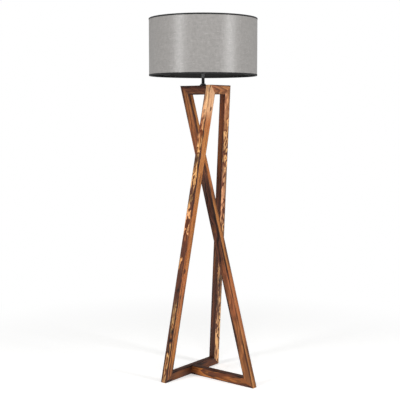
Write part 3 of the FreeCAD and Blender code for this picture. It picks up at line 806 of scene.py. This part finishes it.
@dataclass
class Stand:
    """The seven timbers and the dowels hidden in their joints."""

    nodes: dict[str, Piece]
    side_facing: Point = (0, -1, 0)
    prop_facing: Point = (-1, 0, 0)

    def pines(self) -> dict[str, TorchedPine]:
        """The look of each timber, from the way it was cut and torched.

        Returns:
            The pines by timber.
        """
        return {
            "left_leg": TorchedPine(
                flat=Scorch(tone(212, 152, 94), tone(134, 82, 45),
                            ((0.0, 0.58), (0.12, 0.42), (0.24, 0.38), (0.42, 0.24), (0.55, 0.22),
                             (0.64, 0.34), (0.80, 0.18), (0.92, 0.06), (1.0, 0.10))),
                edge=Scorch(tone(240, 196, 146), tone(126, 76, 45),
                            ((0.0, 0.62), (0.13, 0.60), (0.22, 0.42), (0.38, 0.52), (0.45, 0.48),
                             (0.51, 0.16), (0.58, 0.22), (0.64, 0.56), (0.69, 0.22), (0.75, 0.66),
                             (0.80, 0.18), (0.92, 0.04), (1.0, 0.08))),
                heart=(0.006, -0.050), stray=(0.010, 0.016), seed=1.7, figure=0.0042, curl=26.0,
                early_share=0.66, pale_end=0.13,
                knots=(Knot(1.132, 0.004, 0.0042), Knot(0.47, -0.006, 0.0050))),
            "front_leg": TorchedPine(
                flat=Scorch(tone(166, 112, 74), tone(84, 51, 34),
                            ((0.0, 0.46), (0.12, 0.38), (0.30, 0.44), (0.42, 0.52), (0.50, 0.84),
                             (0.64, 0.88), (0.70, 0.56), (0.80, 0.28), (1.0, 0.44))),
                edge=Scorch(tone(200, 144, 94), tone(118, 76, 48),
                            ((0.0, 0.30), (0.22, 0.26), (0.45, 0.40), (0.62, 0.46), (0.75, 0.28),
                             (1.0, 0.26))),
                heart=(-0.050, 0.006), stray=(0.018, -0.006), seed=4.3,
                knots=(Knot(0.66, -0.005, 0.0050),)),
            "right_leg": TorchedPine(
                flat=Scorch(tone(236, 194, 150), tone(122, 75, 47),
                            ((0.0, 0.52), (0.10, 0.46), (0.26, 0.50), (0.35, 0.40), (0.60, 0.24),
                             (0.80, 0.18), (1.0, 0.24))),
                edge=Scorch(tone(132, 84, 48), tone(72, 42, 24),
                            ((0.0, 0.84), (0.07, 0.96), (0.16, 0.70), (0.60, 0.52), (1.0, 0.46))),
                heart=(-0.052, 0.004), stray=(-0.014, 0.006), ring=0.0041, seed=7.9, figure=0.0052,
                curl=30.0, early_share=0.54,
                knots=(Knot(0.26, 0.003, 0.0045),)),
            "base_bar": TorchedPine(
                flat=Scorch(tone(124, 76, 40), tone(70, 40, 21),
                            ((0.0, 0.54), (0.25, 0.42), (0.60, 0.52), (1.0, 0.46))),
                edge=Scorch(tone(120, 74, 40), tone(72, 42, 22), ((0.0, 0.66), (1.0, 0.62))),
                heart=(-0.050, 0.008), stray=(0.006, 0.012), seed=11.2, corner_burn=0.7),
            "base_stem": TorchedPine(
                flat=Scorch(tone(186, 126, 70), tone(112, 68, 36),
                            ((0.0, 0.28), (0.35, 0.22), (0.50, 0.04), (0.66, 0.24), (1.0, 0.46))),
                edge=Scorch(tone(126, 78, 42), tone(76, 44, 24), ((0.0, 0.58), (1.0, 0.66))),
                heart=(-0.046, 0.006), stray=(0.012, 0.004), seed=14.6, corner_burn=0.5),
            "top_bar": TorchedPine(
                flat=Scorch(tone(196, 140, 100), tone(114, 72, 48),
                            ((0.0, 0.10), (0.5, 0.22), (1.0, 0.26))),
                edge=Scorch(tone(146, 92, 56), tone(88, 52, 32), ((0.0, 0.46), (1.0, 0.50))),
                heart=(-0.040, 0.010), stray=(0.008, 0.004), seed=17.3, corner_burn=0.35),
            "top_stem": TorchedPine(
                flat=Scorch(tone(124, 84, 62), tone(78, 50, 38), ((0.0, 0.52), (1.0, 0.58))),
                edge=Scorch(tone(112, 74, 54), tone(74, 46, 34), ((0.0, 0.56), (1.0, 0.56))),
                heart=(-0.044, 0.004), stray=(0.010, 0.004), seed=21.9, corner_burn=0.35),
        }

    def dress(self) -> None:
        """Gives each timber its own pine, and the dowels plain beech."""
        prop = {"front_leg", "base_stem", "top_stem"}
        for name, pine in self.pines().items():
            facing = self.prop_facing if name in prop else self.side_facing
            axes = Axes.of(self.nodes[name], Vector(facing))
            dress(self.nodes[name], pine.material("pine_" + name, axes))
            LOG.info("%s: %.0f mm long, %.1f x %.1f mm", name, axes.length / MM,
                     axes.width / MM, axes.thickness / MM)
        beech = Finish.DOWEL.value.material()
        for name in ("corner_dowels", "tee_dowels"):
            dress(self.nodes[name], beech)


@dataclass
class Fittings:
    """The hollow tube, its nut and washer, the collar on the timber and the cover sleeve."""

    nodes: dict[str, Piece]
    thread_pitch: float = 0.001
    thread_depth: float = 0.00035
    knurls: int = 60
    knurl_depth: float = 0.00035
    collar_hole: float = 0.00505
    collar_step: float = 0.003
    sleeve_hole: float = 0.0052
    sleeve_lip: float = 0.0008
    sleeve_band: float = 0.003
    tube_bore: float = 0.0035

    def build(self) -> dict[str, Piece]:
        """Models the visible fittings and returns them by node."""
        return {"base_collar": self.collar(), "cover_sleeve": self.sleeve(),
                "threaded_tube": self.tube()}

    def collar(self) -> Piece:
        """The stepped collar with its knurled neck.

        Returns:
            The collar.
        """
        low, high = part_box("base_collar")
        outer, hole, ease = high.x, self.collar_hole, 0.0007
        neck, step = outer - self.collar_step, low.z + self.collar_step
        profile = [(hole, low.z), (outer - ease, low.z)]
        profile += bevel(outer, low.z, ease, 3, -1)
        profile += bevel(outer, step, ease, 3)
        profile += [(neck, step), (neck, step + 0.0006), (neck, high.z - 0.0013)]
        profile += bevel(neck, high.z, ease, 4)
        profile += [(hole, high.z), (hole, low.z)]
        piece = turned("collar_disc", profile, self.knurls * 2)
        middle = (step + high.z) / 2
        raise_faces(piece, lambda c: abs(c.z - middle) < 0.0012 and c.xy.length > neck - 0.0004
                    and sector(c, self.knurls * 2) % 2 == 0, -self.knurl_depth)
        return piece

    def sleeve(self) -> Piece:
        """The plain sleeve with a rolled lip at each end.

        Returns:
            The sleeve.
        """
        low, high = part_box("cover_sleeve")
        outer, hole, lip, band = high.x, self.sleeve_hole, self.sleeve_lip, self.sleeve_band
        slim = outer - 0.0002
        profile = [(hole + lip, low.z)]
        profile += bevel(outer, low.z, lip, 4, -1)
        profile += [(outer, low.z + band), (slim, low.z + band + 0.0004),
                    (slim, high.z - band - 0.0004), (outer, high.z - band)]
        profile += bevel(outer, high.z, lip, 4)
        profile += [(hole + lip, high.z), (hole, high.z - lip), (hole, low.z + lip),
                    (hole + lip, low.z)]
        return turned("sleeve_tube", profile, 72)

    def tube(self) -> Piece:
        """The hollow tube with its thread as fine ridges.

        Returns:
            The tube.
        """
        low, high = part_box("threaded_tube")
        crest, bore = high.x, self.tube_bore
        root = crest - self.thread_depth
        count = int(round((high.z - low.z) / self.thread_pitch))
        pitch = (high.z - low.z) / count
        profile = [(bore, low.z)]
        for turn_number in range(count):
            base = low.z + turn_number * pitch
            profile += [(root, base), (crest, base + pitch * 0.5)]
        profile += [(root, high.z), (bore, high.z), (bore, low.z)]
        return turned("hollow_tube", profile, 40)

    def dress(self, pieces: dict[str, Piece]) -> None:
        """Blacks the collar and sleeve, and plates the rest.

        Args:
            pieces: the new pieces by node.
        """
        black, zinc = Finish.SATIN_BLACK.value.material(), Finish.ZINC.value.material()
        for node, slot, paint in (("base_collar", "black_steel", black),
                                  ("cover_sleeve", "black_steel", black),
                                  ("threaded_tube", "zinc_steel", zinc)):
            stand_in(pieces[node], node, "stand", paint)
        for name in ("tube_nut", "tube_washer"):
            dress(self.nodes[name], zinc)


@dataclass
class Lampholder:
    """The moulded lampholder, its ceramic core and brass parts, and the ring that clamps the shade."""

    nodes: dict[str, Piece]
    ribs: int = 36
    rib_rise: float = 0.0006
    thread_pitch: float = 0.0022
    thread_depth: float = 0.0005
    grips: int = 24
    grip_depth: float = 0.0008
    neck: float = 0.009
    cap_hole: float = 0.00505
    cap_wall: float = 0.0025
    dome: float = 0.006
    skirt_radius: float = 0.020
    skirt_bore: float = 0.0175
    seat: float = 0.003
    ring_bore: float = 0.02005
    shell_wall: float = 0.0005
    shell_wave: float = 0.0003
    shell_pitch: float = 0.0036

    def build(self) -> dict[str, Piece]:
        """Models the outside pieces and returns them by node."""
        return {"lampholder_cap": self.cap(), "lampholder_body": self.skirt(),
                "shade_clamp_ring": self.ring(), "lampholder_screw_shell": self.shell()}

    def cap(self) -> Piece:
        """The ribbed cap that the tube screws into.

        Returns:
            The cap.
        """
        low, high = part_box("lampholder_cap")
        outer, neck, hole, ease = high.x, self.neck, self.cap_hole, 0.0009
        inner, flute = outer - self.cap_wall, self.ribs * 4
        profile = [(hole, low.z)]
        profile += bevel(neck, low.z, ease, 3, -1)
        profile += [(neck, low.z + 0.0065), (neck + 0.0012, low.z + 0.0082)]
        profile += rounded(outer - self.dome, low.z + 0.0172, -52, 0, self.dome, 6)
        profile += [(outer, low.z + 0.0182), (outer, high.z - 0.0008), (outer - 0.0003, high.z),
                    (inner, high.z), (inner, low.z + 0.0175), (inner - 0.003, low.z + 0.0172),
                    (0.0080, low.z + 0.0072), (hole, low.z + 0.0070), (hole, low.z)]
        piece = turned("lampholder_cap_shell", profile, flute)
        raise_faces(piece, lambda c: low.z + 0.0183 < c.z < high.z - 0.0009
                    and c.xy.length > outer - 0.0002 and sector(c, flute) % 4 in (0, 1),
                    -self.rib_rise)
        return piece

    def skirt(self) -> Piece:
        """The body: a shoulder that the shade rests on, and a skirt with an outside thread.

        Returns:
            The body.
        """
        low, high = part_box("lampholder_body")
        shoulder, skirt, bore, ease = high.x, self.skirt_radius, self.skirt_bore, 0.0008
        root, seat = skirt - self.thread_depth, low.z + self.seat
        profile = [(bore, low.z)]
        profile += bevel(shoulder, low.z, ease, 3, -1)
        profile += rounded(shoulder - ease / 2, seat - ease / 2, 0, 90, ease / 2, 2)
        profile += [(root, seat)]
        height = seat + 0.0002
        while height + self.thread_pitch < high.z - 0.0022:
            profile += [(radius, height + self.thread_pitch * share) for radius, share
                        in ((root, 0.0), (skirt, 0.35), (skirt, 0.6), (root, 0.95))]
            height += self.thread_pitch
        profile += [(root, high.z - 0.0012)]
        profile += bevel(root, high.z, ease, 3)
        profile += [(bore + 0.0005, high.z), (bore, high.z - 0.0005), (bore, low.z)]
        return turned("lampholder_skirt", profile, 96)

    def ring(self) -> Piece:
        """The clamp ring with finger grips round its rim.

        Returns:
            The ring.
        """
        low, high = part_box("shade_clamp_ring")
        outer, bore, ease = high.x, self.ring_bore, 0.0009
        profile = [(bore, low.z + 0.0004), (bore + 0.0004, low.z)]
        profile += bevel(outer, low.z, ease, 3, -1)
        profile += [(outer, low.z + 0.0016), (outer, high.z - 0.0016)]
        profile += bevel(outer, high.z, ease, 3)
        profile += [(bore + 0.0022, high.z), (bore + 0.0016, high.z - 0.0008),
                    (bore, high.z - 0.0008), (bore, low.z + 0.0004)]
        piece = turned("clamp_ring_nut", profile, self.grips * 5)
        raise_faces(piece, lambda c: c.xy.length > outer - 0.0003
                    and sector(c, self.grips * 5) % 5 in (0, 1), -self.grip_depth)
        return piece

    def shell(self) -> Piece:
        """The brass screw shell, rolled to the bulb's round thread.

        Returns:
            The shell.
        """
        low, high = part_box("lampholder_screw_shell")
        wall = column(high.x, low.z, high.z, 40)
        profile = [(r - self.shell_wave * (1 - math.cos(TURN * (z - low.z) / self.shell_pitch)) / 2,
                    z) for r, z in wall]
        profile += [(r - self.shell_wall, z) for r, z in reversed(wall)] + profile[:1]
        return turned("screw_shell_rolled", profile, 72)

    def dress(self, pieces: dict[str, Piece]) -> None:
        """Finishes the new pieces and the CAD nodes inside them.

        Args:
            pieces: the new pieces by node.
        """
        plastic, brass = Finish.HOLDER.value.material(), Finish.BRASS.value.material()
        rows = {"lampholder_cap": (plastic, "holder_plastic", "stand"),
                "lampholder_body": (plastic, "holder_plastic", "stand"),
                "shade_clamp_ring": (plastic, "holder_plastic", "clamp_ring"),
                "lampholder_screw_shell": (brass, "contact_brass", "stand")}
        for node, (paint, slot, body) in rows.items():
            stand_in(pieces[node], node, body, paint)
        dress(self.nodes["lampholder_core"], Finish.CERAMIC.value.material())
        for name in ("lampholder_contact", "terminal_screws"):
            dress(self.nodes[name], brass)


@dataclass
class Bulb:
    """The screw-in lamp with an opal globe."""

    nodes: dict[str, Piece]
    thread_pitch: float = 0.0036
    thread_depth: float = 0.0007
    cap_wall: float = 0.0004
    collar: float = 0.0118
    root: float = 0.0130
    body_bore: float = 0.0100
    globe_wall: float = 0.0012

    def build(self) -> dict[str, Piece]:
        """Models the cap, body and globe and returns them by node."""
        return {"bulb_cap": self.cap(), "bulb_body": self.body(), "bulb_globe": self.globe()}

    def cap(self) -> Piece:
        """The nickelled cap with a round thread.

        Returns:
            The cap.
        """
        low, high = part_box("bulb_cap")
        outside = []
        for radius, z in column(high.x, low.z, high.z, 48):
            calm = min(1.0, (high.z - z) / 0.004, (z - low.z) / 0.002)
            wave = (1 - math.cos(TURN * (z - low.z) / self.thread_pitch)) / 2
            outside.append((radius - self.thread_depth * wave * max(0.0, calm), z))
        inside = [(r - self.cap_wall, z) for r, z in reversed(outside)]
        return turned("bulb_cap_thread", outside + inside + outside[:1], 72)

    def body(self) -> Piece:
        """The plastic body that widens to the globe, with a shallow seam groove.

        Returns:
            The body.
        """
        low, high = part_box("bulb_body")
        cap_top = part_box("bulb_cap")[1].z
        wide, root, bore = high.x, self.root, self.body_bore
        profile = [(bore, low.z), (self.collar, low.z), (self.collar, cap_top - 0.0004)]
        for step in range(15):
            share = step / 15
            ease = math.sin(share * math.pi / 2) ** 1.15
            profile.append((root + (wide - root) * ease, cap_top + (high.z - cap_top) * share))
        profile += [(wide, high.z - 0.0012), (wide - 0.0004, high.z - 0.0009),
                    (wide - 0.0004, high.z - 0.0005), (wide, high.z - 0.0003), (wide, high.z),
                    (wide - 0.0016, high.z), (wide - 0.0022, high.z - 0.004),
                    (bore, cap_top + 0.006), (bore, low.z)]
        return turned("bulb_body_shell", profile, 96)

    def globe(self) -> Piece:
        """The opal globe, a thin shell open at its base where it sits on the body.

        Returns:
            The globe.
        """
        low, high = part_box("bulb_globe")
        outer = high.x
        centre = high.z - outer
        start = math.degrees(math.asin((low.z - centre) / outer))
        outside = rounded(0.0, centre, start, 90, outer, 24)
        inside = rounded(0.0, centre, 90, start, outer - self.globe_wall, 24)
        inside[-1] = (inside[-1][0], low.z)
        return turned("opal_globe_shell", outside + inside + outside[:1], 96, 60.0)

    def dress(self, pieces: dict[str, Piece]) -> None:
        """Finishes the new pieces and the CAD nodes of the bulb.

        Args:
            pieces: the new pieces by node.
        """
        nickel = Finish.NICKEL.value.material()
        rows = {"bulb_cap": (nickel, "nickel"),
                "bulb_body": (Finish.BULB_SHELL.value.material(), "bulb_plastic"),
                "bulb_globe": (Finish.OPAL.value.material(), "opal")}
        for node, (paint, slot) in rows.items():
            stand_in(pieces[node], node, "bulb", paint)
        dress(self.nodes["bulb_contact"], nickel)
        dress(self.nodes["bulb_insulator"], Finish.BLACK_GLASS.value.material())
        dress(self.nodes["bulb_led_board"], Finish.BOARD.value.material())


class Rim(Enum):
    """The two edges of the drum, and the way that each trim folds over."""

    BOTTOM = -1
    TOP = 1


@dataclass
class Shade:
    """The drum shade: linen cover on a stiff backing, tape on its rims, rings and arms."""

    nodes: dict[str, Piece]
    segments: int = 240
    seam_heading: float = 38.0
    seam_columns: int = 2
    seam_rise: float = 0.00025
    ripple: float = 0.00016
    cloth: float = 0.0008
    tape: float = 0.0006
    trim_leg: float = 0.006
    trim_return: float = 0.0032
    trim_inset: float = 0.0037
    fold: float = 0.0011
    trim_bend: float = 0.0035
    rim_radius: float = 0.22
    backing_bore: float = 0.2174

    def build(self) -> dict[str, Piece]:
        """Models the cloth, backing and trims and returns them by node."""
        return {"shade_cover": self.cover(), "shade_liner": self.backing(),
                "top_trim": self.trim(Rim.TOP), "bottom_trim": self.trim(Rim.BOTTOM)}

    def cover(self) -> Piece:
        """The linen, a single wrap with a lapped seam at the back.

        Returns:
            The cloth.
        """
        low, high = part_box("shade_cover")
        radius = high.x
        piece = turned("linen_cover", column(radius, low.z, high.z, 14), self.segments)
        first = sector(Matrix.Rotation(math.radians(self.seam_heading), 3, "Z") @ Vector((1, 0, 0)),
                       self.segments)
        seam = {(first + n) % self.segments for n in range(self.seam_columns)}
        raise_faces(piece, lambda c: sector(c, self.segments) in seam, self.seam_rise)
        for vertex in piece.data.vertices:
            angle = math.atan2(vertex.co.y, vertex.co.x)
            share = (vertex.co.z - low.z) / (high.z - low.z)
            wave = (math.sin(5 * angle + 1.1) + 0.7 * math.sin(13 * angle + 4 * share)
                    + 0.5 * math.sin(23 * angle - 3 * share + 2.0)) / 2.2
            vertex.co.xy *= 1 + self.ripple * wave * math.sin(math.pi * share) / radius
        unroll(piece, radius, lambda co: co.z)
        wall = piece.modifiers.new("cloth", "SOLIDIFY")
        wall.thickness, wall.offset, wall.use_even_offset = self.cloth * 0.9, -1.0, True
        bpy.ops.object.modifier_apply(modifier=wall.name)
        bpy.ops.object.shade_smooth_by_angle(angle=math.radians(35))
        return piece

    def backing(self) -> Piece:
        """The stiff backing inside the linen.

        Returns:
            The backing.
        """
        low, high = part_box("shade_liner")
        outside = column(high.x, low.z, high.z, 6)
        inside = [(self.backing_bore, z) for _, z in reversed(outside)]
        return turned("shade_backing", outside + inside + outside[:1], self.segments)

    def trim(self, rim: Rim) -> Piece:
        """Tape folded over one rim of the drum.

        Args:
            rim: which rim.

        Returns:
            The tape, a thin closed U in section with rounded folds.
        """
        side, sign = rim.name.lower(), rim.value
        low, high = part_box(side + "_trim")
        edge = high.z if rim is Rim.TOP else low.z
        outer, inner = self.rim_radius, self.backing_bore - self.trim_inset
        fold, thin = self.fold, self.tape
        profile = [(outer - thin, edge - sign * self.trim_leg),
                   (outer - 0.0001, edge - sign * self.trim_leg),
                   (outer, edge - sign * (self.trim_leg - 0.0002)),
                   (outer, edge - sign * self.trim_bend)]
        profile += rounded(outer - fold, edge - sign * fold, 0, sign * 90, fold, 4)
        profile += [((outer + inner) / 2, edge)]
        profile += rounded(inner + fold, edge - sign * fold, sign * 90, sign * 180, fold, 4)
        profile += [(inner, edge - sign * self.trim_return),
                    (inner + thin, edge - sign * self.trim_return)]
        bend = fold - thin
        profile += rounded(inner + fold, edge - sign * fold, sign * 180, sign * 90, bend, 3)
        profile += rounded(outer - fold, edge - sign * fold, sign * 90, 0, bend, 3)
        piece = turned(side + "_tape", profile + profile[:1], self.segments)
        unroll(piece, outer, lambda co: co.z - sign * co.xy.length)
        return piece

    def dress(self, pieces: dict[str, Piece]) -> None:
        """Args:
            pieces: the new pieces by node.
        """
        tape = Tape().material()
        rows = {"shade_cover": (Linen().material(), "linen"),
                "shade_liner": (Finish.LINER.value.material(), "liner"),
                "top_trim": (tape, "black_tape"), "bottom_trim": (tape, "black_tape")}
        for node, (cloth, slot) in rows.items():
            stand_in(pieces[node], node, "shade", cloth)
        paint = Finish.FRAME_PAINT.value.material()
        for name in ("spider_ring", "spider_arms", "bottom_wire_ring", "top_wire_ring"):
            dress(self.nodes[name], paint)


@dataclass(frozen=True)
class SoftBox:
    """A soft light: its direction from the lamp in degrees, distance, height, size and watts."""

    name: str
    heading: float
    distance: float
    height: float
    size: tuple[float, float]
    power: float


@dataclass
class Studio:
    """The floor, the lights and the camera."""

    stand_off: Point = (-2.762, -2.170, 1.100)
    heading: float = 38.36
    dip: float = 5.30
    lens: float = 77.05
    drop: float = -0.02
    floor_reach: float = 40.0
    floor_glow: float = 1.0
    floor_core: float = 3.0
    floor_lift: float = 0.30
    soft_light: float = 0.36
    aim: Point = (0.0, 0.0, 0.75)
    boxes: tuple[SoftBox, ...] = (
        SoftBox("soft_box_left", 170.0, 2.3, 1.4, (0.46, 2.2), 31.0),
        SoftBox("soft_box_right", 273.0, 2.3, 1.4, (0.44, 2.2), 33.5),
        SoftBox("soft_box_high", 218.0, 3.0, 3.0, (1.6, 1.0), 36.0))

    def camera(self) -> None:
        """Sets the camera a little below the shade, looking slightly down."""
        data = bpy.data.cameras.new("camera")
        data.lens, data.sensor_width, data.shift_y = self.lens, 36.0, self.drop
        data.clip_start, data.clip_end = 0.05, 200.0
        camera = bpy.data.objects.new("camera", data)
        camera.location = self.stand_off
        camera.rotation_euler = Euler((math.radians(90 - self.dip), 0,
                                       math.radians(self.heading - 90)))
        bpy.context.collection.objects.link(camera)
        bpy.context.scene.camera = camera

    def floor(self) -> None:
        """A wide round floor that fades into the white surround."""
        deselect()
        bpy.ops.mesh.primitive_circle_add(vertices=96, radius=self.floor_reach, fill_type="NGON",
                                          location=(0, 0, -0.0002))
        floor = bpy.context.object
        floor.name = "floor"
        edit()
        bpy.ops.mesh.inset(thickness=self.floor_reach - self.floor_core)
        leave()
        bpy.ops.object.transform_apply(location=True)
        g = Graph("pale_floor")
        x, y, _ = g.split(g.object_point())
        away = g.span(x, y)
        grain = g.noise(g.object_point(), 60.0, 3.0)
        pale = g.mix(grain, tone(250, 250, 249), tone(253, 253, 252))
        shader = g.node("BsdfPrincipled", {"Base Color": pale, "Roughness": 0.8,
                                           "Emission Color": (1, 1, 1),
                                           "Emission Strength": self.floor_lift})
        glow = g.node("Emission", {"Color": (1, 1, 1), "Strength": self.floor_glow})
        fade = g.node("MixShader", {0: g.spread(away, 0.55, 1.7), 1: shader.outputs[0],
                                    2: glow.outputs[0]})
        g.node("OutputMaterial", {"Surface": fade.outputs[0]})
        dress(floor, g.owner)

    def surround(self) -> None:
        """Soft light from all sides, against a white surround."""
        g = Graph("surround", world=True)
        soft, white = (g.node("Background", {"Color": (1, 1, 1), "Strength": strength}).outputs[0]
                       for strength in (self.soft_light, 1.0))
        seen = g.node("LightPath", {}).outputs["Is Camera Ray"]
        sky = g.node("MixShader", {0: seen, 1: soft, 2: white}).outputs[0]
        g.node("OutputWorld", {"Surface": sky})
        bpy.context.scene.world = g.owner

    def light(self, box: SoftBox) -> None:
        """Hangs one soft box that looks at the middle of the lamp.

        Args:
            box: the light's place, size and power.
        """
        data = bpy.data.lights.new(box.name, "AREA")
        data.shape, (data.size, data.size_y) = "RECTANGLE", box.size
        data.energy = box.power
        lamp = bpy.data.objects.new(box.name, data)
        turn = math.radians(box.heading)
        lamp.location = (math.cos(turn) * box.distance, math.sin(turn) * box.distance, box.height)
        lamp.rotation_euler = (Vector(self.aim) - lamp.location).to_track_quat("-Z", "Y").to_euler()
        bpy.context.collection.objects.link(lamp)

    def build(self) -> None:
        """Sets up the whole studio."""
        self.camera()
        self.floor()
        self.surround()
        for box in self.boxes:
            self.light(box)
        view = bpy.context.scene.view_settings
        view.view_transform, view.look, view.exposure, view.gamma = "Standard", "None", 0.0, 1.0


def main() -> None:
    """Builds every sub-assembly round the frame and reports each piece."""
    logging.basicConfig(level=logging.INFO, format="%(message)s")
    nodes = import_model()["nodes"]
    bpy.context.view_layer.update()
    Stand(nodes).dress()
    for assembly in (Fittings(nodes), Lampholder(nodes), Bulb(nodes), Shade(nodes)):
        pieces = assembly.build()
        assembly.dress(pieces)
        for piece in pieces.values():
            LOG.info("%s: %d faces", piece.name, len(piece.data.polygons))
    Studio().build()


if __name__ == "__main__":
    main()
